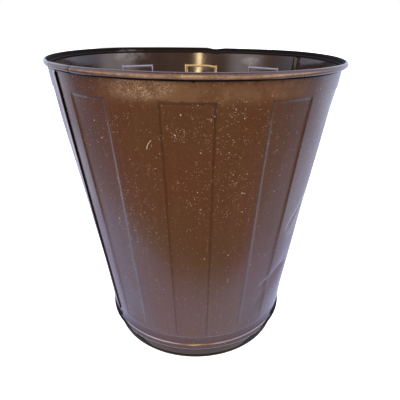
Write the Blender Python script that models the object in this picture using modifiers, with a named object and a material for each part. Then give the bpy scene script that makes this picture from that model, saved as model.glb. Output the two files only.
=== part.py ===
"""A tapered steel wastebasket: two pressed body sheets, a rim wire and a drawn bottom pan.

Metres, +Z up, the origin on the floor under the middle. Azimuths are in degrees about Z:
0 faces -Y, and 90 faces +X.
"""

from math import cos, degrees, pi, radians, sin

import bmesh
import bpy
from mathutils import Vector

# Sheet and wire
SHEET = 0.0006              # thickness of the steel sheet
GAP = 0.0003                # air between two layers that touch
PITCH = SHEET + GAP         # middle to middle of two folded layers

# Rim
RIM_RADIUS = 0.165          # to the outside of the rolled rim
ROLL_RADIUS = 0.0030        # of the roll's round section
ROLL_Z = 0.3405             # height of the roll's middle
ROLL_START = 172.0          # angle round the section where the wall runs into the roll
ROLL_END = -115.0           # angle round the section where the rolled edge stops
ROLL_STEPS = 8
WIRE_RADIUS = 0.0020
WIRE_JOINT = -39.0          # azimuth of the wire's two ends
WIRE_JOINT_GAP = 0.001

# Wall
WALL_RADIUS_AT_RIM = 0.1592  # middle of the sheet, at the roll's height
TAPER = 0.1422              # radius lost per metre of height
SHOULDER_Z = 0.0385         # the cone ends here, above the base groove
GROOVE_DEPTH = 0.0011
GROOVE_TOP_Z = 0.0362
GROOVE_LOW_Z = 0.0285
GROOVE_FLARE = 0.0003       # how much wider the groove is at its low end

# Pressed panels
PANELS = 10
PANEL_PITCH = 360.0 / PANELS
PANEL_HALF_WIDTH = 9.0
PANEL_EDGE = 0.8            # degrees taken by the sloping edge
PANEL_DEPTH = 0.0013
PANEL_TOP_Z = 0.3195
PANEL_BOTTOM_Z = 0.0425
PANEL_EDGE_HEIGHT = 0.0022
PANEL_COLUMN = 3.0          # degrees from a panel's middle to the columns on its floor
WALL_COLUMN = 15.0          # degrees from a panel's middle to the columns on the plain wall

# Lock seams, as distances round the wall from the seam's azimuth
FIRST_SEAM = -54.0
SEAM_TURN = 180.0
FOLD_AT = -0.0006           # where the outer sheet folds under itself
HOOK_AT = -0.0058           # where the inner sheet folds over
SEAM_TIP = 0.0006           # how far each hook stays short of the other's fold
JOGGLE_AT = 0.0024          # where the inner sheet starts to step in
SEAM_TOP_Z = 0.3310
SEAM_BOTTOM_Z = 0.0395
FOLD_STEPS = 4

# Base bead, the body's lower edge curled over the pan's hem
BEAD_RADIUS = 0.1170        # to the outside of the bead
BEAD_SECTION = 0.0026       # radius of the bead's round section
BEAD_Z = 0.0210
BEAD_START = 58.0           # angle round the section where the neck joins
BEAD_LIP = 0.0006           # flat left at the curl's end
BEAD_STEPS = 4

# Bottom pan
REST_OUTER = 0.1080         # outer edge of the flat ring that the basket stands on
REST_INNER = 0.0960
FLOOR_RADIUS = 0.0930
FLOOR_RISE = 0.0032
FOOT_LOW_RADIUS = 0.1099
FOOT_LOW_Z = 0.0022
FOOT_TOP_RADIUS = 0.1126
FOOT_TOP_Z = 0.0184
FOOT_SHOULDER = 0.0005      # how far the foot's top steps out to the hem
FOOT_BEVEL = 0.0006
FOOT_BEVEL_RISE = 0.0005
HEM_RADIUS = 0.0011         # of the fold at the pan's edge
HEM_INSET = 0.0002          # from the bead's middle to the hem's
HEM_FLAT = 0.0009           # flat left at the hem's end
HEM_STEPS = 3

# Every ring is cut into the same facets, so that nested pieces keep their gaps
FACETS = 60
FACET = 360.0 / FACETS
SHARP_ANGLE = 35.0

PAINT = (0.115, 0.082, 0.072, 1.0)
STEEL = (0.42, 0.41, 0.40, 1.0)

OBJECT_NAME = "steel_wastebasket"


def clear_scene():
    for item in list(bpy.data.objects):
        bpy.data.objects.remove(item, do_unlink=True)


def material(name, colour, metallic, roughness):
    made = bpy.data.materials.new(name)
    made.use_nodes = True
    shader = made.node_tree.nodes["Principled BSDF"]
    shader.inputs["Base Color"].default_value = colour
    shader.inputs["Metallic"].default_value = metallic
    shader.inputs["Roughness"].default_value = roughness
    return made


def add_object(collection, name, data, finish):
    item = bpy.data.objects.new(name, data)
    collection.objects.link(item)
    item.data.materials.append(finish)
    return item


def add_thickness(item):
    modifier = item.modifiers.new("sheet", "SOLIDIFY")
    modifier.thickness = SHEET
    modifier.offset = 0.0
    modifier.use_even_offset = True


def shade_round(mesh):
    mesh.shade_smooth()
    mesh.set_sharp_from_angle(angle=radians(SHARP_ANGLE))


def faceted(azimuth, radius):
    """The radius at an azimuth of a ring whose corners lie on the given radius."""
    from_middle = azimuth - FACET * round(azimuth / FACET)
    return radius * cos(radians(FACET / 2)) / cos(radians(from_middle))


def place(azimuth, radius, z):
    turn = radians(azimuth)
    return Vector((radius * sin(turn), -radius * cos(turn), z))


def wall_radius(z):
    return WALL_RADIUS_AT_RIM - TAPER * (ROLL_Z - z)


def arc(centre, radius, start, end, steps):
    """Points (r, z) round a section's centre, from one angle to another."""
    points = []
    for step in range(steps + 1):
        angle = radians(start + (end - start) * step / steps)
        points.append((centre[0] + radius * cos(angle), centre[1] + radius * sin(angle)))
    return points


# --- body sheets ---------------------------------------------------------------------------


def sheet_rows():
    """The sheet's section from the rim's rolled edge to the base bead: (r, z, seamed, pressed)."""
    middle = ROLL_RADIUS - SHEET / 2
    roll = arc((RIM_RADIUS - ROLL_RADIUS, ROLL_Z), middle, ROLL_END, ROLL_START, ROLL_STEPS)
    rows = [(r, z, False, False) for r, z in roll]
    rows.append((wall_radius(SEAM_TOP_Z), SEAM_TOP_Z, True, False))
    rows.append((wall_radius(PANEL_TOP_Z), PANEL_TOP_Z, True, False))
    for z in (PANEL_TOP_Z - PANEL_EDGE_HEIGHT, PANEL_BOTTOM_Z + PANEL_EDGE_HEIGHT):
        rows.append((wall_radius(z), z, True, True))
    rows.append((wall_radius(PANEL_BOTTOM_Z), PANEL_BOTTOM_Z, True, False))
    rows.append((wall_radius(SEAM_BOTTOM_Z), SEAM_BOTTOM_Z, True, False))
    groove = wall_radius(SHOULDER_Z) - GROOVE_DEPTH
    rows.append((groove, GROOVE_TOP_Z, False, False))
    rows.append((groove + GROOVE_FLARE, GROOVE_LOW_Z, False, False))
    centre = (BEAD_RADIUS - BEAD_SECTION, BEAD_Z)
    bead = arc(centre, BEAD_SECTION - SHEET / 2, BEAD_START, -90.0, BEAD_STEPS)
    rows += [(r, z, False, False) for r, z in bead]
    rows.append((bead[-1][0] - BEAD_LIP, bead[-1][1], False, False))
    return rows


def fold(at, depth, turn, steps):
    """A fold's points (along, out), half round a centre that lies a layer inside the given depth."""
    points = []
    for step in range(steps + 1):
        angle = turn * pi * step / steps
        points.append((at + PITCH * sin(angle), depth - PITCH + PITCH * cos(angle)))
    return points


def inner_hook():
    """The hook of the sheet that passes under the seam, from its tip to its step: (along, out)."""
    turned = fold(HOOK_AT + PITCH, -PITCH, -1, FOLD_STEPS)
    tip = (FOLD_AT - PITCH - SEAM_TIP, -PITCH)
    return [tip] + turned + [(FOLD_AT, -3 * PITCH)]


def outer_hook():
    """The fold of the sheet that lies on the outside, from the wall to its tip: (along, out)."""
    turned = fold(FOLD_AT - PITCH, 0.0, 1, FOLD_STEPS)
    return turned + [(HOOK_AT + PITCH + SEAM_TIP, -2 * PITCH)]


def sheet_columns():
    """Across one sheet, seam to seam: (azimuth, along, out, hooked, pressed)."""
    columns = [(FIRST_SEAM, along, out, True, False) for along, out in inner_hook()]
    columns.append((FIRST_SEAM, JOGGLE_AT, 0.0, False, False))
    inner_edge = PANEL_HALF_WIDTH - PANEL_EDGE
    half_across = (PANEL_COLUMN, inner_edge, PANEL_HALF_WIDTH, WALL_COLUMN)
    across = [-offset for offset in reversed(half_across)] + list(half_across)
    for panel in range(PANELS // 2):
        middle = FIRST_SEAM + PANEL_PITCH * (panel + 0.5)
        for offset in across:
            columns.append((middle + offset, 0.0, 0.0, False, abs(offset) <= inner_edge))
    last_seam = FIRST_SEAM + SEAM_TURN
    for index, (along, out) in enumerate(outer_hook()):
        columns.append((last_seam, along, out, index > 0, False))
    return columns


def sheet_point(row, column, is_step):
    r, z, seamed, pressed_row = row
    azimuth, along, out, hooked, pressed_column = column
    if is_step and not seamed:
        along = FOLD_AT - PITCH + GAP
        out = 0.0
    azimuth += degrees(along / r)
    radius = faceted(azimuth, r) + out
    if pressed_row and pressed_column:
        radius -= PANEL_DEPTH
    return place(azimuth, radius, z)


def sheet_mesh():
    rows = sheet_rows()
    columns = sheet_columns()
    step_column = len(inner_hook()) - 1
    bm = bmesh.new()
    bmesh.ops.create_grid(bm, x_segments=len(columns) - 1, y_segments=len(rows) - 1, size=1.0)

    def index(value, count):
        return (value + 1) / 2 * (count - 1)

    notches = []
    for face in bm.faces:
        middle = face.calc_center_median()
        column = int(index(middle.x, len(columns)))
        row = int(index(middle.y, len(rows)))
        in_hook = column < step_column or columns[column + 1][3] and column > step_column
        if in_hook and not (rows[row][2] and rows[row + 1][2]):
            notches.append(face)
    for vert in bm.verts:
        column = round(index(vert.co.x, len(columns)))
        row = round(index(vert.co.y, len(rows)))
        vert.co = sheet_point(rows[row], columns[column], column == step_column)
    bmesh.ops.delete(bm, geom=notches, context="FACES")
    mesh = bpy.data.meshes.new("body_sheet")
    bm.to_mesh(mesh)
    bm.free()
    shade_round(mesh)
    return mesh


def add_sheets(collection, paint):
    mesh = sheet_mesh()
    mesh.materials.append(paint)
    for number, name in enumerate(("front_sheet", "back_sheet")):
        item = bpy.data.objects.new(name, mesh)
        collection.objects.link(item)
        item.rotation_euler.z = radians(SEAM_TURN) * number
        add_thickness(item)


# --- rim wire ------------------------------------------------------------------------------


def add_wire(collection, steel):
    """A hoop inside the rolled rim, whose two ends meet at a small gap."""
    radius = RIM_RADIUS - ROLL_RADIUS
    half_gap = degrees(WIRE_JOINT_GAP / 2 / radius)
    first = WIRE_JOINT + half_gap
    last = WIRE_JOINT + 360.0 - half_gap
    corners = [FACET * (number + 0.5) for number in range(-FACETS, FACETS)]
    stops = [first] + [corner for corner in corners if first < corner < last] + [last]
    curve = bpy.data.curves.new("rim_wire", "CURVE")
    curve.dimensions = "3D"
    curve.bevel_depth = WIRE_RADIUS
    curve.bevel_resolution = 2
    curve.use_fill_caps = True
    spline = curve.splines.new("POLY")
    spline.points.add(len(stops) - 1)
    for point, azimuth in zip(spline.points, stops):
        point.co = (*place(azimuth, faceted(azimuth, radius), ROLL_Z), 1.0)
    add_object(collection, "rim_wire", curve, steel)


# --- bottom pan ----------------------------------------------------------------------------


def pan_profile():
    """The pan's section (r, z), from its hemmed edge down the foot and in to the middle."""
    low = SHEET / 2
    hem_centre = (BEAD_RADIUS - BEAD_SECTION - HEM_INSET, BEAD_Z)
    points = [(hem_centre[0] - HEM_FLAT, BEAD_Z + HEM_RADIUS)]
    points += arc(hem_centre, HEM_RADIUS, 90.0, -90.0, HEM_STEPS)
    points.append((FOOT_TOP_RADIUS + FOOT_SHOULDER, BEAD_Z - HEM_RADIUS))
    points.append((FOOT_TOP_RADIUS, FOOT_TOP_Z))
    points.append((FOOT_LOW_RADIUS, FOOT_LOW_Z))
    points.append((FOOT_LOW_RADIUS - FOOT_BEVEL, low + FOOT_BEVEL_RISE))
    points.append((REST_OUTER, low))
    points.append((REST_INNER, low))
    points.append((FLOOR_RADIUS, low + FLOOR_RISE))
    points.append((0.0, low + FLOOR_RISE))
    return points


def add_pan(collection, paint):
    profile = pan_profile()
    bm = bmesh.new()
    verts = [bm.verts.new((r, 0.0, z)) for r, z in profile]
    for first, second in zip(verts, verts[1:]):
        bm.edges.new((first, second))
    mesh = bpy.data.meshes.new("bottom_pan")
    bm.to_mesh(mesh)
    bm.free()
    item = add_object(collection, "bottom_pan", mesh, paint)
    item.rotation_euler.z = radians(FACET / 2)
    turned = item.modifiers.new("turned", "SCREW")
    turned.axis = "Z"
    turned.steps = FACETS
    turned.render_steps = FACETS
    turned.use_merge_vertices = True
    turned.merge_threshold = 0.00001
    turned.use_smooth_shade = True
    add_thickness(item)


def main():
    clear_scene()
    collection = bpy.data.collections.new(OBJECT_NAME)
    bpy.context.scene.collection.children.link(collection)
    paint = material("brown_enamel", PAINT, 0.0, 0.32)
    steel = material("wire_steel", STEEL, 1.0, 0.45)
    add_sheets(collection, paint)
    add_wire(collection, steel)
    add_pan(collection, paint)


main()
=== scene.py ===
"""Looks of the steel wastebasket: pressed body sheets, rim wire and bottom pan in worn brown enamel,
with highlights and shade painted into its colour.

Metres, +Z up. Azimuths are in degrees about Z: 0 faces -Y, and 90 faces +X.
"""

from math import cos, pi, radians, sin

import bmesh
import bpy
import numpy as np
from mathutils import Euler, Matrix, Vector


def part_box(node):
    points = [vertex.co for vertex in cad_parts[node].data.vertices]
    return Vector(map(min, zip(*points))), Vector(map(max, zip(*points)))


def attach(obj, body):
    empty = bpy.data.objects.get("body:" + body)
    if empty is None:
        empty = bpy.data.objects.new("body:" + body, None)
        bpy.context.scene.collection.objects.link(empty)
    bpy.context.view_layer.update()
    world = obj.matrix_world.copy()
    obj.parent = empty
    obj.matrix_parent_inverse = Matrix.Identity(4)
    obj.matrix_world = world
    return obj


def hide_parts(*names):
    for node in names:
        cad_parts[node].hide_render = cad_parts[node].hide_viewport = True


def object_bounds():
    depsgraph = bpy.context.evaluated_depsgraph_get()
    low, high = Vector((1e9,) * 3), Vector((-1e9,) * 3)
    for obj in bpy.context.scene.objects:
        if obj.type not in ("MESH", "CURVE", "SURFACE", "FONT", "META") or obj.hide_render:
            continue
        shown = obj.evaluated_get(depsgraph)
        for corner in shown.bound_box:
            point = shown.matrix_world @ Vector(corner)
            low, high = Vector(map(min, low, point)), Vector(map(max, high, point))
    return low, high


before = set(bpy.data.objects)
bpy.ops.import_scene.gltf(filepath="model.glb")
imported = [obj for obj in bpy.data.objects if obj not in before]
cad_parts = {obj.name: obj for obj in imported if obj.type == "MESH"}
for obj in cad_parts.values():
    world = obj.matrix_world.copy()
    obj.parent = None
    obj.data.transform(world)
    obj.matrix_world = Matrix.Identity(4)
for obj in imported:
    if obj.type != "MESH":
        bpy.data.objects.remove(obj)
CAD_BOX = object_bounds()

# Sizes read from the frame
FACET_SHARE = cos(radians(3.0))          # the frame's rings are cut into 60 flat facets
RIM_RADIUS = CAD_BOX[1].x / FACET_SHARE
RIM_TOP = CAD_BOX[1].z
SHEET_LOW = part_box("front_sheet")[0].z
WIRE_LOW, WIRE_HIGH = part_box("rim_wire")

# Sheet, rim and wall
SHEET = 0.0006
ROLL_Z = (WIRE_LOW.z + WIRE_HIGH.z) / 2
ROLL_RADIUS = RIM_TOP - ROLL_Z
ROLL_START = -128.0         # angle round the roll's section where the sheet's edge is
ROLL_END = 168.0            # angle round it where the wall leaves
WIRE_RADIUS = (WIRE_HIGH.z - WIRE_LOW.z) / 2
WIRE_FROM = -38.8           # azimuths of the wire's two ends
WIRE_TO = 320.8
WALL_RADIUS_AT_RIM = RIM_RADIUS - 0.0058
TAPER = 0.1422              # radius lost per metre of height
NECK_Z = ROLL_Z - 0.0070    # the plain cone ends here, under the roll
HALF_TURN = pi * RIM_RADIUS

# Base of the body
SHOULDER_Z = 0.0385         # the cone ends here, above the groove
GROOVE_DEPTH = 0.0010
GROOVE_DROP = 0.0030        # height in which the shoulder steps into the groove
BEAD_RADIUS = RIM_RADIUS - 0.0480
BEAD_SECTION = 0.0026
BEAD_Z = SHEET_LOW + BEAD_SECTION
LEDGE_Z = 0.0261            # the small ledge over the bead, which catches the light

# Panels
PANEL_PITCH = 36.0
PANEL_HALF = 9.2
PANELS_PER_SHEET = 5
PANEL_STEP = 0.0007         # height of the pressed step round a panel
PANEL_EDGE = 0.0042         # width of that step
PANEL_FLATNESS = 0.65       # how far a panel's floor goes from the cone's curve to a flat chord
PANEL_RUN_IN = 0.030        # height over which the floor flattens
PANEL_TOP = 0.3200
PANEL_BOTTOM = 0.0410
PANEL_CORNER = 0.0052
PANEL_RUN = radians(PANEL_PITCH) * RIM_RADIUS

# Lock seams, with distances round the wall from the seam's azimuth
FIRST_SEAM = -54.0
LAYER = 0.00068             # middle to middle of two layers that touch
FOLD_AT = -0.0010           # where the outer sheet folds under itself
HOOK_AT = -0.0062           # where the inner sheet folds over
JOGGLE_AT = 0.0013          # where the inner sheet joins the plain wall
FOLD_STEPS = 6
JOGGLE_STEPS = 7
SEAM_RISE = 0.0017          # how far the outer sheet's folded edge stands off the wall
SEAM_CLOSES = 0.0034        # height over which the hooks close up into the rolled rim
SEAM_CLOSED_HALF = 0.0012   # half width of what is left of them there
SEAM_RAMP = 0.0140          # how far back from the fold the sheet starts to rise

# Bottom pan
HEM_RADIUS = 0.0012
HEM_INSET = 0.0002          # from the bead's middle to the hem's
HEM_FLAT = 0.0010           # width of the hem's flat edge
FOOT_TOP = (RIM_RADIUS - 0.0525, BEAD_Z - 0.0030)       # radius and height
FOOT_LOW = (RIM_RADIUS - 0.0552, 0.0028)
FOOT_TURN = 0.0024          # width of the turn from the foot to the ring it rests on
REST_WIDTH = 0.0115
FLOOR_RISE = 0.0032
FLOOR_RAMP = 0.0035
PAN_HOLE_SHARE = 0.015      # of the floor's radius, closed by one flat face
PAN_HOLE_LIMIT = 0.02       # only that hole's edge is within this radius


def smooth(low, high, value):
    """Rises from 0 at low to 1 at high, without a kink."""
    share = np.clip((value - low) / (high - low), 0.0, 1.0)
    return share * share * (3.0 - 2.0 * share)


def wall_radius(z):
    return WALL_RADIUS_AT_RIM - TAPER * (ROLL_Z - z)


def turned(azimuth, middle):
    """The signed angle from middle to azimuth, between -180 and 180."""
    return (azimuth - middle + 180.0) % 360.0 - 180.0


def arc(centre, radius, start, end, steps):
    angles = np.radians(np.linspace(start, end, steps + 1))
    return [(centre[0] + radius * cos(a), centre[1] + radius * sin(a)) for a in angles]


def curve_between(start, start_way, end, end_way, steps):
    """A smooth curve (r, z) that leaves start along start_way and reaches end along end_way."""
    points = []
    for t in np.linspace(0.0, 1.0, steps + 1):
        h00 = 2 * t**3 - 3 * t**2 + 1
        h10 = t**3 - 2 * t**2 + t
        h01 = -2 * t**3 + 3 * t**2
        h11 = t**3 - t**2
        points.append(tuple(
            h00 * start[i] + h10 * start_way[i] + h01 * end[i] + h11 * end_way[i] for i in (0, 1)
        ))
    return points


def place(azimuth, radius, z):
    """Points (x, y, z) at azimuths, radii and heights that may be single values or grids."""
    turn = np.radians(azimuth)
    return np.stack(np.broadcast_arrays(radius * np.sin(turn), -radius * np.cos(turn), z), axis=-1)


# --- the body sheets' section --------------------------------------------------------------


def roll_centre():
    return RIM_RADIUS - ROLL_RADIUS, ROLL_Z


def roll_and_neck():
    """The rolled rim from its inner end, and the short neck down to the plain cone."""
    roll = arc(roll_centre(), ROLL_RADIUS - SHEET / 2, ROLL_START, ROLL_END, 44)
    leave = radians(ROLL_END + 90.0)
    start_way = (0.008 * cos(leave), 0.008 * sin(leave))
    joined = (wall_radius(NECK_Z), NECK_Z)
    neck = curve_between(roll[-1], start_way, joined, (-TAPER * 0.006, -0.006), 8)
    return roll + neck[1:]


def wall_heights():
    """Heights down the cone, close together at the panels' ends."""
    heights = list(np.arange(NECK_Z - 0.002, PANEL_TOP + 0.001, -0.0022))
    heights += list(np.arange(PANEL_TOP + 0.0006, PANEL_TOP - 0.0040, -0.0004))
    heights += list(np.linspace(PANEL_TOP - 0.0060, PANEL_BOTTOM + 0.0060, 104))
    heights += list(np.arange(PANEL_BOTTOM + 0.0040, SHOULDER_Z, -0.0004))
    return heights


def base_curl():
    """The groove, the small ledge and the bead that curls in under the pan's hem."""
    shoulder = (wall_radius(SHOULDER_Z), SHOULDER_Z)
    groove = (shoulder[0] - GROOVE_DEPTH, SHOULDER_Z - GROOVE_DROP)
    low_groove = (groove[0], LEDGE_Z + 0.0012)
    mid_groove = (groove[0] - 0.0001, (groove[1] + low_groove[1]) / 2)
    centre = (BEAD_RADIUS - BEAD_SECTION, BEAD_Z)
    bead = arc(centre, BEAD_SECTION - SHEET / 2, 14.0, -90.0, 14)
    ledge = (bead[0][0] - 0.0002, LEDGE_Z - 0.0014)
    lip = (bead[-1][0] - 0.0006, bead[-1][1])
    points = curve_between(shoulder, (-0.0003, -0.0016), groove, (0.0, -0.0022), 8)
    points += [mid_groove, low_groove]
    points += curve_between(low_groove, (0.0, -0.0012), ledge, (0.0008, -0.0014), 8)[1:]
    points += curve_between(ledge, (0.0001, -0.0016), bead[0], (0.0001, -0.0016), 3)[1:]
    return points + bead[1:] + [lip]


def sheet_section():
    """The sheet's middle line (r, z) from the rolled rim's inner end down to the base curl."""
    wall = [(wall_radius(z), z) for z in wall_heights()]
    return np.array(roll_and_neck() + wall + base_curl())


def section_normals(section):
    """Unit normals (r, z) of the section, pointing out of the basket."""
    along = np.gradient(section, axis=0)
    normal = np.stack([-along[:, 1], along[:, 0]], axis=-1)
    return normal / np.linalg.norm(normal, axis=1, keepdims=True)


def sheet_azimuths():
    """Azimuths across one sheet, measured from its first seam, close together at panel edges."""
    edge = np.arange(PANEL_HALF - 1.35, PANEL_HALF + 0.75, 0.15)
    between = np.arange(10.7, 17.3, 0.44)
    floor = np.arange(-7.2, 7.3, 0.72)
    offsets = np.concatenate([edge, -edge, between, -between, floor])
    middles = PANEL_PITCH * (np.arange(PANELS_PER_SHEET) + 0.5)
    return np.array(sorted({round(float(m + offset), 3) for m in middles for offset in offsets}))


# --- what the wall's surface adds to the plain cone ----------------------------------------


def panel_depth(azimuth, z):
    """How deep the pressed panels are: a step at their edges, and a floor flatter than the cone."""
    offset = np.abs((azimuth + PANEL_PITCH / 2) % PANEL_PITCH - PANEL_PITCH / 2)
    side = np.radians(PANEL_HALF - offset) * wall_radius(z)
    ends = np.minimum(PANEL_TOP - z, z - PANEL_BOTTOM)
    inside = np.minimum(np.minimum(side, ends), PANEL_CORNER)
    from_side = np.maximum(PANEL_CORNER - side, 0.0)
    from_end = np.maximum(PANEL_CORNER - ends, 0.0)
    in_corner = (from_side > 0) & (from_end > 0)
    inside = np.where(in_corner, PANEL_CORNER - np.hypot(from_side, from_end), inside)
    lower = 1 - smooth(0.08, 0.26, z)
    step = smooth(0.0, PANEL_EDGE * (1 + 0.55 * lower), inside)
    chord = 1.0 - cos(radians(PANEL_HALF)) / np.cos(np.radians(np.minimum(offset, PANEL_HALF)))
    run_in = smooth(0.0, PANEL_RUN_IN, ends)
    floor = PANEL_FLATNESS * chord * wall_radius(z) * run_in
    return step * (PANEL_STEP * (1 - 0.25 * lower) + floor)


# Places where the roll is swollen or pinched: azimuth, half width, height, and the share of
# that height in its upper half
ROLL_SWELLS = (
    (-46.0, 6.5, -0.00035, 1.0),
    (-33.5, 5.0, 0.00055, 0.1),
    (26.5, 3.2, 0.00050, 0.3),
    (-6.0, 3.0, -0.00025, 1.0),
    (96.0, 5.0, 0.00040, 0.4),
    (-150.0, 6.0, -0.00030, 1.0),
)
SLIT_AZIMUTH = -39.0        # a small slit across the roll
SLIT_DEPTH = 0.0007

# Places where the rim is bent up or down: azimuth, half width, height
RIM_BENDS = (
    (-120.0, 38.0, 0.00155),
    (122.0, 26.0, 0.00105),
    (172.0, 3.0, -0.0014),
)

# Dents, and bulges where the depth is negative: azimuth, height, half width round the wall,
# half height, depth, slant
DENTS = (
    (62.0, 0.176, 0.012, 0.030, 0.0006, 0.55),
    (50.0, 0.105, 0.016, 0.024, 0.0010, 0.50),
    (44.0, 0.085, 0.008, 0.020, 0.0005, 0.60),
    (-66.0, 0.288, 0.021, 0.060, -0.0030, 0.0),
    (70.0, 0.265, 0.030, 0.070, -0.0012, 0.0),
    (-67.0, 0.110, 0.014, 0.045, 0.0014, 0.0),
    (14.0, 0.218, 0.014, 0.018, 0.0003, 0.2),
    (-30.0, 0.120, 0.016, 0.020, 0.0003, -0.3),
    (150.0, 0.210, 0.020, 0.030, 0.0010, 0.4),
    (-140.0, 0.110, 0.015, 0.022, 0.0009, -0.5),
    (98.0, 0.260, 0.012, 0.016, 0.0006, 0.2),
    (-105.0, 0.240, 0.014, 0.024, 0.0008, 0.4),
    (175.0, 0.090, 0.014, 0.014, 0.0006, 0.0),
)

# Creases: azimuth and height of both ends, depth, half width
CREASES = (
    (63.5, 0.201, 50.5, 0.170, 0.0019, 0.0045),
    (57.5, 0.117, 39.5, 0.098, 0.0017, 0.0045),
    (166.0, 0.225, 150.0, 0.190, 0.0009, 0.0050),
)


def dents(azimuth, z):
    total = np.zeros(np.broadcast(azimuth, z).shape)
    for middle, height, wide, tall, depth, slant in DENTS:
        up = z - height
        round_wall = np.radians(turned(azimuth, middle)) * wall_radius(z) - slant * up
        spread = (round_wall / wide) ** 2 + (up / tall) ** 2
        total -= depth * np.exp(-spread)
    return total


def creases(azimuth, z):
    """Sharp valleys, one side steeper, where the wall was knocked."""
    total = np.zeros(np.broadcast(azimuth, z).shape)
    for azimuth_a, z_a, azimuth_b, z_b, depth, wide in CREASES:
        radius = wall_radius((z_a + z_b) / 2)
        run = np.array((radians(azimuth_b - azimuth_a) * radius, z_b - z_a))
        length = np.hypot(*run)
        run = run / length
        across = np.radians(turned(azimuth, azimuth_a)) * radius
        along = (across * run[0] + (z - z_a) * run[1]) / length
        off = across * run[1] - (z - z_a) * run[0]
        side = np.where(off > 0, wide * 0.5, wide * 1.6)
        ends = smooth(-0.15, 0.20, along) * (1 - smooth(0.80, 1.15, along))
        total -= depth * ends * np.exp(-np.abs(off) / side)
    return total


def waves(azimuth, z):
    """The slight unevenness of pressed sheet, a few tenths of a millimetre."""
    a = np.radians(azimuth)
    rise = z / 0.1
    swell = 0.00016 * np.sin(5 * a + 1.3 * rise + 0.4) + 0.00012 * np.sin(9 * a - 2.1 * rise + 2.0)
    ripple = 0.00007 * np.sin(17 * a + 3.7 * rise) + 0.00005 * np.sin(23 * a - 5.3 * rise + 1.1)
    fade = smooth(SHOULDER_Z, SHOULDER_Z + 0.04, z) * (1 - smooth(NECK_Z - 0.02, NECK_Z, z))
    return (swell + ripple) * (0.25 + 0.75 * fade)


def rim_lift(azimuth, z):
    """The used rim is out of level: higher at the left than at the right, and bent in places."""
    a = np.radians(azimuth)
    lift = -0.0011 * np.sin(a) + 0.0007 * np.cos(a)
    for middle, wide, height in RIM_BENDS:
        lift = lift + height * np.exp(-((turned(azimuth, middle) / wide) ** 2))
    return smooth(0.20, ROLL_Z, z) * lift


def roll_swell(azimuth, z, r):
    """How far the roll stands out of its round section: it was closed by hand in places."""
    middle_r = RIM_RADIUS - ROLL_RADIUS
    low = 1 - smooth(ROLL_Z - 0.0012, ROLL_Z + 0.0014, z)
    outside = smooth(middle_r - 0.001, middle_r + 0.001, r)
    total = np.zeros(np.shape(azimuth))
    for middle, wide, height, above in ROLL_SWELLS:
        hump = np.exp(-((turned(azimuth, middle) / wide) ** 2))
        total = total + height * hump * (above + (1 - above) * low)
    slit = np.exp(-((turned(azimuth, SLIT_AZIMUTH) / 0.35) ** 2))
    return (total - SLIT_DEPTH * slit) * outside


# --- the lock seams ------------------------------------------------------------------------


def seam_lean(azimuth, z):
    """Degrees by which the left seam leans towards the front at its top."""
    return 1.4 * np.exp(-((turned(azimuth, FIRST_SEAM) / 6.0) ** 2)) * smooth(0.19, 0.31, z)


def seam_rise(azimuth, seam, base, r):
    """The outer sheet lifts towards its folded edge, and the hooks under it follow."""
    from_start = np.radians(azimuth - seam) * r
    from_end = np.radians(azimuth - seam - 180.0) * r
    behind = np.where(base < 90.0, from_start, from_end)
    return SEAM_RISE * smooth(-SEAM_RAMP, -0.0010, behind) * (behind < JOGGLE_AT - 0.0001)


def seam_share(z):
    """1 where the hooks run at full width, 0 in the rim roll and the base bead."""
    opens = smooth(SHOULDER_Z - 0.001, SHOULDER_Z + 0.001, z)
    return opens * (1 - smooth(NECK_Z, NECK_Z + SEAM_CLOSES, z))


def fold(at, depth, turn, steps):
    angles = turn * np.linspace(0.0, pi, steps + 1)
    return [(at + LAYER * sin(a), depth - LAYER + LAYER * cos(a)) for a in angles]


def inner_hook():
    """The hook that passes under the seam, from its tip to the plain wall: (along, out)."""
    turned_back = fold(HOOK_AT + LAYER, -LAYER, -1, FOLD_STEPS)
    tip = [(FOLD_AT - 2 * LAYER, -LAYER)]
    foot = (FOLD_AT, -3 * LAYER)
    end = (JOGGLE_AT - 0.0002, -SEAM_RISE)
    joggle = curve_between(foot, (0.0008, 0.0), end, (0.0012, 0.0), JOGGLE_STEPS)
    joggle[-1] = (JOGGLE_AT, 0.0)
    return tip + turned_back + joggle


def outer_hook():
    """The fold of the outside sheet, from the wall to its tip: (along, out)."""
    turned_in = fold(FOLD_AT - LAYER, 0.0, 1, FOLD_STEPS)
    tip = [(HOOK_AT + 2 * LAYER, -2 * LAYER)]
    return turned_in + tip


# --- the body sheets' meshes ---------------------------------------------------------------


def sheet_grid(seam):
    """Points of a sheet's middle surface: rows down the section, columns across from seam to seam."""
    section = sheet_section()
    normal = section_normals(section)
    columns = [(0.0, along, out) for along, out in inner_hook()]
    columns += [(value, 0.0, 0.0) for value in sheet_azimuths()]
    columns += [(180.0, along, out) for along, out in outer_hook()]
    base, along, out = (np.array(values)[None, :] for values in zip(*columns))
    r, z = section[:, :1], section[:, 1:]
    in_seam = seam_share(z)
    closed = np.clip(along, -SEAM_CLOSED_HALF, SEAM_CLOSED_HALF)
    azimuth = seam + base + np.degrees((along * in_seam + (1 - in_seam) * closed) / r)
    on_wall = (z < NECK_Z) & (z > SHOULDER_Z)
    push = np.where(on_wall, -panel_depth(azimuth - seam - PANEL_PITCH / 2, z), 0.0)
    push = push + dents(azimuth, z) + creases(azimuth, z) + waves(azimuth, z)
    push = push + (out + seam_rise(azimuth, seam, base, r)) * in_seam
    on_roll = z > NECK_Z + SEAM_CLOSES
    push = np.where(on_roll, push - roll_swell(azimuth, z, r), push)
    leaning = azimuth + seam_lean(azimuth, z)
    points = place(leaning, r + push * normal[:, :1], z + push * normal[:, 1:])
    points[..., 2] += rim_lift(azimuth, z)
    return points, azimuth, np.broadcast_to(z, azimuth.shape)


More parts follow.
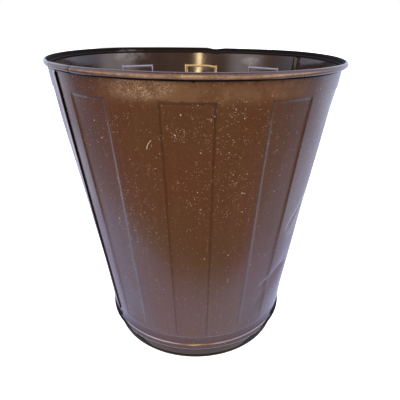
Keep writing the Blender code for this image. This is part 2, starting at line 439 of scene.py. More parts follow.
def shown_faces(row_z, columns):
    """Which of the grid's faces to keep: the hooks are left out in the rim roll and the base."""
    keep = np.ones((len(row_z) - 1, columns - 1), dtype=bool)
    hooked = (row_z[:-1] < NECK_Z + SEAM_CLOSES) & (row_z[1:] > SHOULDER_Z - 0.0012)
    in_hook = np.zeros(columns - 1, dtype=bool)
    in_hook[: len(inner_hook()) - JOGGLE_STEPS - 1] = True
    in_hook[columns - len(outer_hook()):] = True
    keep[np.ix_(~hooked, in_hook)] = False
    return keep


def grid_faces(keep):
    rows, columns = keep.shape
    row, column = np.meshgrid(np.arange(rows), np.arange(columns), indexing="ij")
    row, column = row[keep], column[keep]
    first = row * (columns + 1) + column
    return np.stack([first, first + columns + 1, first + columns + 2, first + 1], axis=-1)


def add_mesh(name, points, faces):
    mesh = bpy.data.meshes.new(name)
    mesh.from_pydata(points.reshape(-1, 3).tolist(), [], faces.tolist())
    mesh.validate()
    mesh.shade_smooth()
    item = bpy.data.objects.new(name, mesh)
    bpy.context.scene.collection.objects.link(item)
    return item


def drop_loose(item):
    """Takes away the points that no face uses."""
    bm = bmesh.new()
    bm.from_mesh(item.data)
    loose = [vert for vert in bm.verts if not vert.link_faces]
    bmesh.ops.delete(bm, geom=loose, context="VERTS")
    bm.to_mesh(item.data)
    bm.free()


def add_map(item, azimuth, z):
    """A map whose two numbers are metres: round the wall at the rim's radius, and up."""
    layer = item.data.uv_layers.new(name="wall_map")
    index = np.empty(len(item.data.loops), dtype=np.int64)
    item.data.loops.foreach_get("vertex_index", index)
    flat = np.stack([np.radians(azimuth).ravel() * RIM_RADIUS, z.ravel()], axis=-1)
    layer.data.foreach_set("uv", flat[index].ravel().astype(np.float32))


def thicken(item):
    modifier = item.modifiers.new("sheet", "SOLIDIFY")
    modifier.thickness = SHEET
    modifier.offset = 0.0
    modifier.use_even_offset = False


def add_sheet(name, node, seam, paint):
    points, azimuth, z = sheet_grid(seam)
    item = add_mesh(name, points, grid_faces(shown_faces(z[:, 0], azimuth.shape[1])))
    add_map(item, azimuth, z)
    drop_loose(item)
    thicken(item)
    item.data.materials.append(paint)
    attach(item, "root")
    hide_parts(node)


# --- the rim wire and the bottom pan -------------------------------------------------------


def pan_section():
    """The pan's middle line, from the hem inside the bead, down the foot and in to the middle."""
    low = SHEET / 2
    hem = (BEAD_RADIUS - BEAD_SECTION - HEM_INSET, BEAD_Z)
    rest = (FOOT_LOW[0] - FOOT_TURN, low)
    inner_rest = (rest[0] - REST_WIDTH, low)
    floor = (inner_rest[0] - FLOOR_RAMP, low + FLOOR_RISE)
    points = [(hem[0] - HEM_FLAT, hem[1] + HEM_RADIUS)]
    points += arc(hem, HEM_RADIUS, 90.0, -90.0, 8)
    points += curve_between(points[-1], (-0.0012, 0.0), FOOT_TOP, (-0.0002, -0.0012), 6)[1:]
    points += [
        (FOOT_TOP[0] + (FOOT_LOW[0] - FOOT_TOP[0]) * t, FOOT_TOP[1] + (FOOT_LOW[1] - FOOT_TOP[1]) * t)
        for t in np.linspace(0.1, 1.0, 10)
    ]
    points += curve_between(FOOT_LOW, (-0.0003, -0.0024), rest, (-0.0024, 0.0), 7)[1:]
    points += curve_between(inner_rest, (-0.0030, 0.0), floor, (-0.0030, 0.0), 8)
    points += [(floor[0] * (1 - t), floor[1]) for t in np.linspace(0.08, 1 - PAN_HOLE_SHARE, 16)]
    return np.array(points)


def add_turned(name, section, paint, steps=240):
    """The section turned round the axis, open at its two ends."""
    rows = len(section)
    azimuth = np.broadcast_to(np.linspace(0.0, 360.0, steps, endpoint=False), (rows, steps))
    r, z = section[:, :1], section[:, 1:]
    row, column = np.meshgrid(np.arange(rows - 1) * steps, np.arange(steps), indexing="ij")
    after = (column + 1) % steps
    faces = np.stack([row + column, row + steps + column, row + steps + after, row + after], axis=-1)
    item = add_mesh(name, place(azimuth, r, z), faces.reshape(-1, 4))
    add_map(item, azimuth, np.broadcast_to(z, azimuth.shape))
    item.data.materials.append(paint)
    return item


def close_middle(item):
    """Fills the small hole left in the middle of the pan's floor."""
    bm = bmesh.new()
    bm.from_mesh(item.data)
    inner = [e for e in bm.edges if e.is_boundary and e.verts[0].co.xy.length < PAN_HOLE_LIMIT]
    bmesh.ops.contextual_create(bm, geom=inner)
    bm.to_mesh(item.data)
    bm.free()


def add_pan(paint):
    item = add_turned("bottom_pan_drawn", pan_section(), paint)
    close_middle(item)
    thicken(item)
    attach(item, "root")
    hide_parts("bottom_pan")


def add_wire(steel):
    curve = bpy.data.curves.new("rim_wire_hoop", "CURVE")
    curve.dimensions = "3D"
    curve.bevel_depth = WIRE_RADIUS
    curve.bevel_resolution = 4
    curve.use_fill_caps = True
    spline = curve.splines.new("POLY")
    azimuths = np.linspace(WIRE_FROM, WIRE_TO, 241)
    spline.points.add(len(azimuths) - 1)
    radius = roll_centre()[0]
    for point, azimuth in zip(spline.points, azimuths):
        x, y, z = place(azimuth, radius, ROLL_Z + rim_lift(azimuth, ROLL_Z))
        point.co = (x, y, z, 1.0)
    item = bpy.data.objects.new("rim_wire_hoop", curve)
    bpy.context.scene.collection.objects.link(item)
    curve.materials.append(steel)
    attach(item, "root")
    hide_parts("rim_wire")


# --- node trees ----------------------------------------------------------------------------


class Nodes:
    """Short calls for building a node tree."""

    def __init__(self, tree):
        self.tree = tree

    def add(self, kind, **settings):
        node = self.tree.nodes.new(kind)
        for name, value in settings.items():
            setattr(node, name, value)
        return node

    def join(self, source, target):
        self.tree.links.new(source, target)

    def feed(self, socket, value):
        if isinstance(value, bpy.types.NodeSocket):
            self.join(value, socket)
        else:
            socket.default_value = value

    def math(self, operation, a, b=0.0):
        node = self.add("ShaderNodeMath", operation=operation)
        self.feed(node.inputs[0], a)
        self.feed(node.inputs[1], b)
        return node.outputs[0]

    def plus(self, a, b):
        return self.math("ADD", a, b)

    def minus(self, a, b):
        return self.math("SUBTRACT", a, b)

    def times(self, a, b):
        return self.math("MULTIPLY", a, b)

    def larger(self, a, b):
        return self.math("MAXIMUM", a, b)

    def smaller(self, a, b):
        return self.math("MINIMUM", a, b)

    def unsigned(self, a):
        return self.math("ABSOLUTE", a)

    def remainder(self, a, b):
        return self.math("FLOORED_MODULO", a, b)

    def split(self, vector):
        """The three numbers of a vector."""
        node = self.add("ShaderNodeSeparateXYZ")
        self.join(vector, node.inputs[0])
        return node.outputs["X"], node.outputs["Y"], node.outputs["Z"]

    def mix(self, share, a, b):
        node = self.add("ShaderNodeMix", data_type="RGBA")
        self.feed(node.inputs["Factor"], share)
        self.feed(node.inputs["A"], a)
        self.feed(node.inputs["B"], b)
        return node.outputs["Result"]

    def noise(self, vector, scale, detail=3.0, roughness=0.5, stretch=(1.0, 1.0, 1.0)):
        mapping = self.add("ShaderNodeMapping")
        mapping.inputs["Scale"].default_value = stretch
        self.join(vector, mapping.inputs["Vector"])
        node = self.add("ShaderNodeTexNoise")
        self.join(mapping.outputs[0], node.inputs["Vector"])
        node.inputs["Scale"].default_value = scale
        node.inputs["Detail"].default_value = detail
        node.inputs["Roughness"].default_value = roughness
        return node.outputs["Fac"]

    def ramp(self, value, low, high, to_low=0.0, to_high=1.0):
        """Goes smoothly from to_low, where value is low, to to_high, where it is high."""
        node = self.add("ShaderNodeMapRange", interpolation_type="SMOOTHSTEP")
        self.feed(node.inputs["Value"], value)
        node.inputs["From Min"].default_value = low
        node.inputs["From Max"].default_value = high
        node.inputs["To Min"].default_value = to_low
        node.inputs["To Max"].default_value = to_high
        return node.outputs[0]

    def band(self, value, low, high, soft):
        """1 between low and high, fading to 0 over the soft distance outside them."""
        return self.times(self.ramp(value, low - soft, low), self.ramp(value, high + soft, high))


def new_material(name):
    """A material, its node tree and the inputs of its shader."""
    material = bpy.data.materials.new(name)
    material.use_nodes = True
    tree = material.node_tree
    return material, Nodes(tree), tree.nodes["Principled BSDF"].inputs


# --- the enamel ----------------------------------------------------------------------------

RED_BROWN = (0.087, 0.0335, 0.0120, 1.0)
OLIVE_BROWN = (0.082, 0.0385, 0.0130, 1.0)
SIDE_SHADE_BROWN = (0.048, 0.020, 0.013, 1.0)
RUN_BROWN = (0.17, 0.080, 0.030, 1.0)
GRAIN_BROWN = (0.20, 0.12, 0.07, 1.0)
DUST = (0.30, 0.185, 0.10, 1.0)
PALE_DUST = (0.50, 0.40, 0.29, 1.0)
FLECK = (0.62, 0.52, 0.42, 1.0)
INNER_SHADE_DARK = (0.024, 0.014, 0.011, 1.0)
INNER_SHADE_BROWN = (0.040, 0.025, 0.021, 1.0)
INNER_SMUDGE = (0.19, 0.185, 0.20, 1.0)
ROLL_HIGHLIGHT = (0.60, 0.42, 0.28, 1.0)
ROLL_TOP_SHADE = (0.030, 0.008, 0.005, 1.0)
LOW_SHADE_BROWN = (0.028, 0.018, 0.026, 1.0)
LEDGE_HIGHLIGHT_COOL = (0.34, 0.31, 0.36, 1.0)
LEDGE_HIGHLIGHT_WARM = (0.50, 0.34, 0.22, 1.0)
EDGE_HIGHLIGHT_COOL = (0.34, 0.33, 0.42, 1.0)
EDGE_HIGHLIGHT_GOLDEN = (0.62, 0.44, 0.20, 1.0)
PAINTED_SHADE_DARK = (0.006, 0.004, 0.003, 1.0)

FRONT_MIDDLE = 2.7          # azimuth on which the front's painted highlights and shade are centred
CURL_AZIMUTH = -13.4        # the one curved scratch that stands out
CURL_Z = 0.2815
CURL_HALF = 0.0040          # half its height
CURL_SLANT = 0.61
CURL_BEND = 60.0
SEAM_MARGIN = 0.02          # how far before a seam the distance from it starts to count
PANEL_HALF_RUN = radians(PANEL_HALF) * RIM_RADIUS

# Clusters of specks: azimuth, height, half width, half height
SPECKS = (
    (-4.5, 0.292, 0.022, 0.012),
    (-24.5, 0.298, 0.014, 0.017),
    (-13.5, 0.256, 0.008, 0.008),
    (26.5, 0.290, 0.010, 0.034),
    (13.0, 0.300, 0.040, 0.045),
    (10.0, 0.235, 0.045, 0.050),
    (-18.0, 0.328, 0.030, 0.012),
    (-24.0, 0.200, 0.040, 0.060),
)

# Pale smudges inside, under the rim at the back: azimuth, height, half width, half height
SMUDGES = (
    (219.0, 0.3330, 0.036, 0.0105),
    (152.0, 0.3270, 0.020, 0.0070),
)


class Surface:
    """Where a point of the enamel is, as values that all its layers share.

    u and v are the metres of the wall map, around and from_front are radians about Z, outward
    is large where a face looks away from the axis, and inside is 1 where it looks at the axis.
    """

    def __init__(self, n):
        coords = n.add("ShaderNodeTexCoord")
        self.place = coords.outputs["Object"]
        self.wall = coords.outputs["UV"]
        self.u, self.v, _ = n.split(self.wall)
        x, y, _ = n.split(self.place)
        facing_x, facing_y, _ = n.split(coords.outputs["Normal"])
        self.outward = n.plus(n.times(x, facing_x), n.times(y, facing_y))
        self.inside = n.ramp(self.outward, 0.02, -0.06)
        self.around = n.math("ARCTAN2", x, n.times(y, -1.0))
        self.from_front = n.unsigned(n.minus(self.around, radians(FRONT_MIDDLE)))
        self.turn = n.remainder(n.minus(self.u, radians(FIRST_SEAM) * RIM_RADIUS), HALF_TURN)
        self.blotches = n.noise(self.place, 11.0, 4.0, 0.6)


def near(n, s, azimuth, height, wide, tall):
    """A soft spot on the wall: 1 at its middle, 0 outside."""
    across = n.math("DIVIDE", n.minus(s.u, radians(azimuth) * RIM_RADIUS), wide)
    up = n.math("DIVIDE", n.minus(s.v, height), tall)
    return n.ramp(n.plus(n.times(across, across), n.times(up, up)), 1.0, 0.0)


def nearest(n, s, spots):
    """The strongest of several soft spots."""
    share = near(n, s, *spots[0])
    for spot in spots[1:]:
        share = n.larger(share, near(n, s, *spot))
    return share


def dots(n, s, scale, share, size):
    """Small round dots on a jittered grid; share sets how many of them there are."""
    cells = n.add("ShaderNodeTexVoronoi", voronoi_dimensions="2D")
    n.join(s.wall, cells.inputs["Vector"])
    cells.inputs["Scale"].default_value = scale
    pick, grow, _ = n.split(cells.outputs["Color"])
    chosen = n.math("LESS_THAN", pick, share)
    radius = n.times(n.plus(grow, 0.35), size)
    return n.times(n.math("LESS_THAN", cells.outputs["Distance"], radius), chosen)


def hairlines(n, s, scale, width, bend, broken):
    """Thin curved scratches, broken into short lengths."""
    warp = n.add("ShaderNodeTexNoise", noise_dimensions="2D")
    n.join(s.wall, warp.inputs["Vector"])
    warp.inputs["Scale"].default_value = 35.0
    shift = n.add("ShaderNodeVectorMath", operation="SCALE")
    n.join(warp.outputs["Color"], shift.inputs[0])
    shift.inputs["Scale"].default_value = bend
    moved = n.add("ShaderNodeVectorMath", operation="ADD")
    n.join(s.wall, moved.inputs[0])
    n.join(shift.outputs[0], moved.inputs[1])
    cells = n.add("ShaderNodeTexVoronoi", voronoi_dimensions="2D", feature="DISTANCE_TO_EDGE")
    n.join(moved.outputs[0], cells.inputs["Vector"])
    cells.inputs["Scale"].default_value = scale
    line = n.ramp(cells.outputs["Distance"], width, width * 0.4)
    return n.times(line, n.ramp(n.noise(s.wall, 150.0, 2.0), broken, broken + 0.05))


def plain_paint(n, s):
    """Brown enamel, here redder, there more olive, with thin runs down the wall, and painted shade that
    darkens it towards the sides.
    """
    colour = n.mix(n.ramp(s.blotches, 0.38, 0.62), RED_BROWN, OLIVE_BROWN)
    # painted shade: the brown darkens away from the front, where the light falls off round the wall
    side_shade = n.ramp(s.from_front, radians(20), radians(42), 0.0, 0.42)
    colour = n.mix(side_shade, colour, SIDE_SHADE_BROWN)
    runs = n.noise(s.wall, 60.0, 4.0, 0.6, (3.0, 0.12, 1.0))
    colour = n.mix(n.ramp(runs, 0.45, 0.75, 0.0, 0.13), colour, RUN_BROWN)
    grain = n.noise(s.place, 700.0, 2.0, 0.5)
    return n.mix(n.ramp(grain, 0.52, 0.80, 0.0, 0.30), colour, GRAIN_BROWN)


def dusted(n, s, colour):
    """Adds the dust above the panels, under the rim, and says how thick it lies."""
    cloud = n.ramp(n.noise(s.place, 60.0, 5.0, 0.65), 0.30, 0.65)
    grains = n.ramp(n.noise(s.place, 820.0, 2.0, 0.6), 0.46, 0.60)
    in_front = n.band(s.around, radians(-18), radians(30), 0.30)
    collar = n.times(n.band(s.v, 0.3250, 0.3400, 0.012), in_front)
    thin = n.times(collar, n.ramp(cloud, 0.0, 1.0, 0.14, 0.27))
    thick = n.times(n.times(near(n, s, -11.0, 0.332, 0.036, 0.014), cloud), grains)
    dust = n.larger(thin, thick)
    colour = n.mix(dust, colour, DUST)
    patch = n.times(near(n, s, -14.0, 0.3295, 0.034, 0.011), grains)
    patch = n.times(n.times(patch, cloud), 0.60)
    return n.mix(patch, colour, PALE_DUST), dust


def speck_share(n, s):
    """How many specks there are: more in the clusters and high on the wall, and in clumps."""
    share = n.ramp(nearest(n, s, SPECKS), 0.0, 0.8, 0.035, 0.17)
    share = n.times(share, n.ramp(s.v, 0.05, 0.20, 0.3, 1.0))
    return n.times(share, n.ramp(n.noise(s.wall, 110.0, 3.0, 0.6), 0.42, 0.66, 0.15, 1.6))


def curl(n, s):
    """The curved scratch left of the front's middle."""
    up = n.minus(s.v, CURL_Z)
    bow = n.plus(n.times(up, CURL_SLANT), n.times(n.times(up, up), CURL_BEND))
    across = n.minus(s.u, radians(CURL_AZIMUTH) * RIM_RADIUS)
    line = n.ramp(n.unsigned(n.minus(across, bow)), 0.0005, 0.0002)
    return n.times(line, n.band(s.v, CURL_Z - CURL_HALF, CURL_Z + CURL_HALF, 0.0006))


def flecks(n, s):
    """Specks and hairline scratches."""
    share = speck_share(n, s)
    small = dots(n, s, 860.0, share, 0.27)
    large = dots(n, s, 330.0, n.times(share, 0.28), 0.16)
    fleck = n.larger(n.times(small, 0.42), n.times(large, 0.85))
    scratch = hairlines(n, s, 55.0, 0.014, 0.03, 0.61)
    fleck = n.larger(fleck, n.times(scratch, 0.14))
    fleck = n.larger(fleck, n.times(curl(n, s), 0.85))
    return n.times(fleck, n.ramp(s.inside, 0.0, 1.0, 1.0, 0.2))


def smudges(n, s):
    return n.times(nearest(n, s, SMUDGES), n.ramp(n.noise(s.place, 45.0, 5.0, 0.65), 0.36, 0.60))


def inner_shaded_paint(n, s, smudge):
    """The inside's paint: the same enamel painted much darker, as painted shade, with pale smudges."""
    dim = n.mix(n.ramp(s.blotches, 0.35, 0.65), INNER_SHADE_DARK, INNER_SHADE_BROWN)
    return n.mix(n.times(smudge, 0.60), dim, INNER_SMUDGE)


def roll_highlight_and_top_shade(n, s, colour):
    """Paints a highlight along the front of the rolled rim, where the light shows on it, and painted
    shade over the roll's top.
    """
    rise = n.ramp(s.from_front, radians(4), radians(50), -0.0003, 0.0009)
    over_middle = n.minus(s.v, n.plus(rise, ROLL_Z))
    over_middle = n.times(over_middle, n.ramp(s.from_front, radians(8), radians(40), 1.0, 1.9))
    on_roll = n.band(over_middle, -0.0010, 0.0001, 0.0009)
    in_front = n.ramp(s.from_front, radians(62), radians(14))
    patches = n.ramp(n.noise(s.place, 150.0, 4.0, 0.7), 0.36, 0.62, 0.30, 1.0)
    out_of_wall = n.ramp(s.outward, RIM_RADIUS * 0.35, RIM_RADIUS * 0.8)
    roll_highlight = n.times(n.times(on_roll, out_of_wall), n.times(patches, in_front))
    # painted highlight: a patchy pale band that rises and narrows away from the front, as the light's
    # line on the roll does
    colour = n.mix(n.times(roll_highlight, 0.42), colour, ROLL_HIGHLIGHT)
    # painted shade over the top of the roll, all round
    return n.mix(n.ramp(s.v, ROLL_Z + 0.0004, ROLL_Z + 0.0014, 0.0, 0.90), colour, ROLL_TOP_SHADE)


def low_shade_and_ledge_highlight(n, s, colour):
    """Paints shade on the enamel towards the floor, and a highlight along the small ledge over the
    bead.
    """
    # painted shade: darker and cooler towards the floor
    colour = n.mix(n.ramp(s.v, 0.042, 0.020, 0.0, 0.50), colour, LOW_SHADE_BROWN)
    # painted highlight along the ledge: cool at the sides, warm at the front
    ledge = n.band(s.v, LEDGE_Z - 0.0008, LEDGE_Z + 0.0001, 0.0004)
    middle = n.ramp(s.from_front, 0.28, 0.06)
    ledge_highlight_colour = n.mix(middle, LEDGE_HIGHLIGHT_COOL, LEDGE_HIGHLIGHT_WARM)
    return n.mix(n.times(ledge, n.ramp(middle, 0.0, 1.0, 0.60, 0.16)), colour, ledge_highlight_colour)


def panel_edges(n, s):
    """1 along the pressed steps beside and over the panels."""
    offset = n.unsigned(n.minus(n.remainder(s.turn, PANEL_RUN), PANEL_RUN / 2))
    beside = n.band(offset, PANEL_HALF_RUN - 0.0022, PANEL_HALF_RUN - 0.0014, 0.0010)
    beside = n.times(beside, n.band(s.v, PANEL_BOTTOM, PANEL_TOP, 0.0005))
    over = n.band(s.v, PANEL_TOP - 0.0018, PANEL_TOP - 0.0010, 0.0008)
    over = n.times(over, n.ramp(offset, PANEL_HALF_RUN, PANEL_HALF_RUN - 0.001))
    return n.larger(beside, over)


def edge_highlights(n, s, colour, edges):
    """Paints highlights on the panels' edges inside, near the rim: golden at the back's middle."""
    golden = n.ramp(n.unsigned(s.around), pi - radians(14), pi - radians(10))
    edge_highlight_colour = n.mix(golden, EDGE_HIGHLIGHT_COOL, EDGE_HIGHLIGHT_GOLDEN)
    edge_highlight = n.times(n.times(edges, s.inside), n.ramp(s.v, 0.296, 0.312, 0.05, 0.60))
    return n.mix(edge_highlight, colour, edge_highlight_colour)


# Painted shade: a dark line in the crevice beside each lock seam, from the groove up to the rim.
def seam_shade(n, s):
    from_seam = n.minus(n.remainder(n.plus(s.turn, SEAM_MARGIN), HALF_TURN), SEAM_MARGIN)
    line = n.times(n.ramp(from_seam, -0.00170, -0.00120), n.ramp(from_seam, 0.0017, 0.0007))
    return n.times(line, n.band(s.v, 0.0270, 0.3350, 0.001))


def roll_shade(n, s):
    """Painted shade: the dark line under the roll, a small notch in it at the front, and the roll's
    slit.
    """
    under = n.band(s.v, ROLL_Z - 0.0042, ROLL_Z - 0.0024, 0.0005)
    notch = near(n, s, 1.8, ROLL_Z - 0.0045, 0.0022, 0.0011)
    slit = near(n, s, SLIT_AZIMUTH, ROLL_Z, 0.0010, 0.0060)
    return n.larger(under, n.larger(notch, n.times(slit, 0.8)))


def foot_shade(n, s):
    """Painted shade round the foot, which reaches higher at the sides, under the bead's overhang."""
    beside_only = n.ramp(s.from_front, radians(104), radians(84))
    turned_away = n.times(n.ramp(s.from_front, radians(54), radians(59)), beside_only)
    wedge = n.times(turned_away, n.ramp(s.v, 0.036, 0.028))
    reach = n.ramp(s.from_front, radians(26), radians(53), 0.0060, 0.0260)
    reach = n.times(reach, n.ramp(beside_only, 0.0, 1.0, 0.14, 1.0))
    under_side = n.ramp(n.minus(s.v, reach), 0.0012, -0.0010)
    foot = n.larger(under_side, n.ramp(s.v, 0.0215, 0.0180, 0.0, 0.66))
    return n.larger(foot, wedge)


def all_painted_shade(n, s, edges, smudge):
    """Painted shade: under the roll and inside it, in the seams, the panels' edges and the groove, and
    at the foot.
    """
    groove = n.times(n.band(s.v, 0.0285, 0.0368, 0.0022), 0.15)
    in_seam_or_roll = n.larger(seam_shade(n, s), roll_shade(n, s))
    painted_shade = n.larger(in_seam_or_roll, n.larger(groove, foot_shade(n, s)))
    # painted shade along the panels' edges outside
    outer_edges = n.times(edges, n.ramp(s.inside, 0.0, 1.0, 0.40, 0.0))
    # painted shade on the inner face of the roll, lighter where the smudges lie
    inner_roll = n.times(s.inside, n.ramp(s.v, ROLL_Z - 0.0045, ROLL_Z - 0.0004))
    inner_roll = n.times(inner_roll, n.ramp(smudge, 0.0, 0.5, 1.0, 0.3))
    return n.larger(painted_shade, n.larger(outer_edges, inner_roll))


def enamel_roughness(n, s, dust, fleck, painted_shade):
    """Satin gloss, glossier inside, and dull where dust or specks lie and where shade is painted."""
    rough = n.ramp(n.noise(s.place, 26.0, 4.0, 0.65), 0.3, 0.7, 0.17, 0.27)
    rough = n.times(rough, n.ramp(s.inside, 0.0, 1.0, 1.0, 0.55))
    rough = n.plus(rough, n.times(dust, 0.35))
    rough = n.plus(rough, n.times(fleck, 0.4))
    return n.larger(rough, n.times(painted_shade, 0.7))


def enamel_bump(n, s):
    bump = n.add("ShaderNodeBump")
    bump.inputs["Strength"].default_value = 0.10
    bump.inputs["Distance"].default_value = 0.0004
    n.join(n.noise(s.place, 240.0, 3.0, 0.55), bump.inputs["Height"])
    return bump.outputs[0]


def enamel(name):
    material, n, shader = new_material(name)
    s = Surface(n)
    colour, dust = dusted(n, s, plain_paint(n, s))
    fleck = flecks(n, s)
    colour = n.mix(fleck, colour, FLECK)
    smudge = smudges(n, s)
    # the inside takes the darker colour: painted shade of the basket's interior
    colour = n.mix(s.inside, colour, inner_shaded_paint(n, s, smudge))
    colour = low_shade_and_ledge_highlight(n, s, roll_highlight_and_top_shade(n, s, colour))
    edges = panel_edges(n, s)
    colour = edge_highlights(n, s, colour, edges)
    painted_shade = all_painted_shade(n, s, edges, smudge)
    # painted shade darkens the colour and takes out most of the gloss
    n.join(n.mix(painted_shade, colour, PAINTED_SHADE_DARK), shader["Base Color"])
    n.join(enamel_roughness(n, s, dust, fleck, painted_shade), shader["Roughness"])
    n.join(n.ramp(painted_shade, 0.0, 1.0, 0.5, 0.06), shader["Specular IOR Level"])
    n.join(enamel_bump(n, s), shader["Normal"])
    return material


# --- the wire's steel ----------------------------------------------------------------------

STEEL = (0.36, 0.35, 0.33, 1.0)
RUST = (0.16, 0.07, 0.03, 1.0)


def bare_steel(name):
    material, n, shader = new_material(name)
    place_in = n.add("ShaderNodeTexCoord").outputs["Object"]
    rust = n.ramp(n.noise(place_in, 160.0, 4.0, 0.6), 0.5, 0.7)
    n.join(n.mix(rust, STEEL, RUST), shader["Base Color"])
    n.join(n.ramp(rust, 0.0, 1.0, 0.9, 0.2), shader["Metallic"])
    n.join(n.ramp(rust, 0.0, 1.0, 0.35, 0.8), shader["Roughness"])
    return material


# --- camera --------------------------------------------------------------------------------

CAMERA_AZIMUTH = 2.66
CAMERA_DISTANCE = 2.9 * RIM_RADIUS
CAMERA_HEIGHT = ROLL_Z + 0.2411 * RIM_RADIUS
CAMERA_DOWN = 24.33
CAMERA_YAW = 0.61
CAMERA_ROLL = 0.25
CAMERA_LENS = 35.77
CAMERA_SENSOR = 36.0


def add_camera():
    data = bpy.data.cameras.new("camera")
    data.sensor_width = CAMERA_SENSOR
    data.lens = CAMERA_LENS
    data.clip_start = 0.01
    item = bpy.data.objects.new("camera", data)
    bpy.context.scene.collection.objects.link(item)
    where = place(CAMERA_AZIMUTH, CAMERA_DISTANCE, CAMERA_HEIGHT)
    aim = Euler((radians(90.0 - CAMERA_DOWN), 0.0, radians(CAMERA_AZIMUTH - CAMERA_YAW))).to_matrix()
    aim = aim @ Matrix.Rotation(radians(CAMERA_ROLL), 3, "Z")
    item.matrix_world = Matrix.Translation(Vector(where)) @ aim.to_4x4()
    bpy.context.scene.camera = item


# --- floor, and what the gloss sees of it --------------------------------------------------

WHITE = (1.0, 1.0, 1.0, 1.0)
BLACK = (0.0, 0.0, 0.0, 1.0)
FLOOR_RADIUS = 6.0
FLOOR_Z = -0.0002
FLOOR_GLOW = 1.05
FLOOR_SHADOW_ENDS = (0.1084, 0.1104)      # the painted shadow under the foot ends between these radii
FLOOR_SHADOW_DARK = (0.02, 0.02, 0.02, 1.0)
FLOOR_PALE = (0.90, 0.90, 0.93, 1.0)

CARD_RADII = (0.120, 5.9)
CARD_Z = 0.0002
TABLE_FRONT = (0.70, 0.90, 1.45, 1.0)
TABLE_SIDE = (0.78, 0.88, 1.34, 1.0)
ROOM_FRONT = (0.08, 0.10, 0.15, 1.0)
ROOM_CORNER = (0.26, 0.27, 0.40, 1.0)
ROOM_SIDE = (0.98, 1.10, 1.50, 1.0)
TABLE_EDGE_FRONT = 0.215            # how far from the axis the table ends
TABLE_EDGE_SIDE = 0.30
LEFT_SHARE = 0.09                   # at the left the table reaches further, and the side starts later
FAR_START = 0.40                    # beyond this radius the front's colours reach further round
FAR_RATE = 0.9
FAR_MOST = 0.5


def circle(radius, z, steps):
    """Points (x, y, z) round the axis, from +X on."""
    angles = np.radians(np.arange(steps) * 360.0 / steps)
    return np.stack([radius * np.cos(angles), radius * np.sin(angles), np.full(steps, z)], axis=-1)


def add_flat(name, points, faces):
    mesh = bpy.data.meshes.new(name)
    mesh.from_pydata(points.tolist(), [], faces)
    item = bpy.data.objects.new(name, mesh)
    bpy.context.scene.collection.objects.link(item)
    return item


def add_ring(name, radii, z, steps=120):
    rings = np.concatenate([circle(radius, z, steps) for radius in radii])
    first = np.arange(steps)
    after = (first + 1) % steps
    faces = np.stack([first, steps + first, steps + after, after], axis=-1)
    return add_flat(name, rings, faces.tolist())


def floor_place(n):
    """On the floor: x, y and the distance from the axis."""
    x, y, _ = n.split(n.add("ShaderNodeTexCoord").outputs["Object"])
    return x, y, n.math("SQRT", n.plus(n.times(x, x), n.times(y, y)))


def add_floor():
    steps = 120
    floor = add_flat("floor", circle(FLOOR_RADIUS, FLOOR_Z, steps), [list(range(steps))])
    material, n, shader = new_material("pale_floor")
    shader["Roughness"].default_value = 0.9
    shader["Specular IOR Level"].default_value = 0.0
    shader["Emission Color"].default_value = WHITE
    # painted shadow: under the foot the floor is dark and does not glow
    clear_of_shadow = n.ramp(floor_place(n)[2], *FLOOR_SHADOW_ENDS)
    n.join(n.times(clear_of_shadow, FLOOR_GLOW), shader["Emission Strength"])
    n.join(n.mix(clear_of_shadow, FLOOR_SHADOW_DARK, FLOOR_PALE), shader["Base Color"])
    floor.data.materials.append(material)


def surround_colour(n):
    """A pale table round the basket, and a room beyond it that is darker in front."""
    x, y, radius = floor_place(n)
    ahead = n.math("DIVIDE", y, radius)
    past = n.smaller(n.times(n.minus(radius, FAR_START), FAR_RATE), FAR_MOST)
    leftward = n.times(n.smaller(n.math("DIVIDE", x, radius), 0.0), LEFT_SHARE)
    turned_back = n.minus(ahead, past)
    side = n.ramp(n.plus(turned_back, leftward), -0.54, -0.02)
    table_edge = n.ramp(ahead, -1.0, -0.2, TABLE_EDGE_FRONT, TABLE_EDGE_SIDE)
    past_edge = n.ramp(n.minus(radius, n.minus(table_edge, leftward)), -0.03, 0.05)
    room = n.mix(n.ramp(turned_back, -1.0, -0.5), ROOM_FRONT, ROOM_CORNER)
    room = n.mix(side, room, ROOM_SIDE)
    return n.mix(past_edge, n.mix(side, TABLE_FRONT, TABLE_SIDE), room)


def add_surround():
    """What the basket's gloss sees of the floor."""
    card = add_ring("room_floor", CARD_RADII, CARD_Z)
    material, n, shader = new_material("room_floor_seen")
    n.join(surround_colour(n), shader["Emission Color"])
    shader["Base Color"].default_value = BLACK
    shader["Specular IOR Level"].default_value = 0.0
    shader["Emission Strength"].default_value = 1.0
    card.data.materials.append(material)
    card.visible_camera = False
    card.visible_shadow = False
    card.visible_transmission = False


# --- light ---------------------------------------------------------------------------------

LOW_FRONT = (0.28, 0.22, 0.17, 1.0)
LOW_BACK = (1.1, 1.2, 1.5, 1.0)
LOW_PATCH = (2.6, 2.45, 2.5, 1.0)
LOW_STREAK = (36.0, 27.0, 14.0, 1.0)
HIGH_FRONT = (4.5, 3.2, 1.6, 1.0)
HIGH_SIDE = (2.3, 2.4, 3.1, 1.0)
HIGH_BACK = (0.9, 1.0, 1.2, 1.0)
OVERHEAD = (0.3, 0.3, 0.35, 1.0)
RIGHT_PATCH_AZIMUTH = 82
LEFT_PATCH_AZIMUTH = -47


def low_world(n, azimuth, away):
    """The world near the horizon: dim in front, with a bright streak and two paler patches."""
    low = n.mix(n.ramp(away, radians(60), radians(110)), LOW_FRONT, LOW_BACK)
    right_patch = n.unsigned(n.minus(azimuth, radians(RIGHT_PATCH_AZIMUTH)))
    left_patch = n.unsigned(n.minus(azimuth, radians(LEFT_PATCH_AZIMUTH)))
    patch = n.smaller(right_patch, left_patch)
    low = n.mix(n.ramp(patch, radians(24), radians(8)), low, LOW_PATCH)
    return n.mix(n.ramp(away, radians(2.8), radians(1.0)), low, LOW_STREAK)


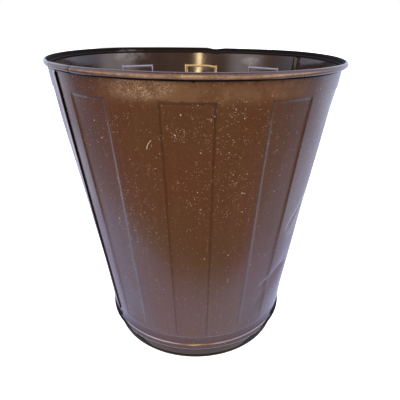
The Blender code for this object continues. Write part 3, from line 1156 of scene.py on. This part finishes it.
def high_world(n, away):
    high = n.mix(n.ramp(away, radians(12), radians(22)), HIGH_FRONT, HIGH_SIDE)
    return n.mix(n.ramp(away, radians(80), radians(120)), high, HIGH_BACK)


def add_world():
    """White behind the basket; its reflections see a cool room with a warm side at the front."""
    world = bpy.data.worlds.new("studio")
    bpy.context.scene.world = world
    world.use_nodes = True
    background = world.node_tree.nodes["Background"].inputs
    n = Nodes(world.node_tree)
    x, y, z = n.split(n.add("ShaderNodeTexCoord").outputs["Generated"])
    azimuth = n.math("ARCTAN2", x, n.times(y, -1.0))
    away = n.unsigned(azimuth)
    colour = n.mix(n.ramp(z, 0.36, 0.50), low_world(n, azimuth, away), high_world(n, away))
    colour = n.mix(n.ramp(z, 0.80, 0.95), colour, OVERHEAD)
    is_camera = n.add("ShaderNodeLightPath").outputs["Is Camera Ray"]
    n.join(n.mix(is_camera, colour, WHITE), background["Color"])
    background["Strength"].default_value = 1.0


def add_area(name, where, target, size, power, colour):
    """A soft light that the gloss does not see."""
    data = bpy.data.lights.new(name, "AREA")
    data.shape = "RECTANGLE"
    data.size, data.size_y = size
    data.energy = power
    data.color = colour
    item = bpy.data.objects.new(name, data)
    bpy.context.scene.collection.objects.link(item)
    way = Vector(target) - Vector(where)
    item.location = where
    item.rotation_euler = way.to_track_quat("-Z", "Y").to_euler()
    item.visible_glossy = False


def build():
    paint = enamel("brown_enamel_worn_painted_light")
    steel = bare_steel("wire_steel_dull")
    add_sheet("front_sheet_pressed", "front_sheet", FIRST_SEAM, paint)
    add_sheet("back_sheet_pressed", "back_sheet", FIRST_SEAM + 180.0, paint)
    add_wire(steel)
    add_pan(paint)


build()
bpy.context.scene.view_settings.view_transform = "Standard"
add_camera()
add_floor()
add_world()
add_surround()
add_area("front_fill", (0.0, -1.6, 1.2), (0.0, 0.0, 0.15), (1.6, 1.0), 5.0, (1.0, 0.95, 0.88))
add_area("overhead", (0.0, 0.1, 1.7), (0.0, 0.0, 0.0), (1.6, 1.6), 1.5, (1.0, 1.0, 1.0))
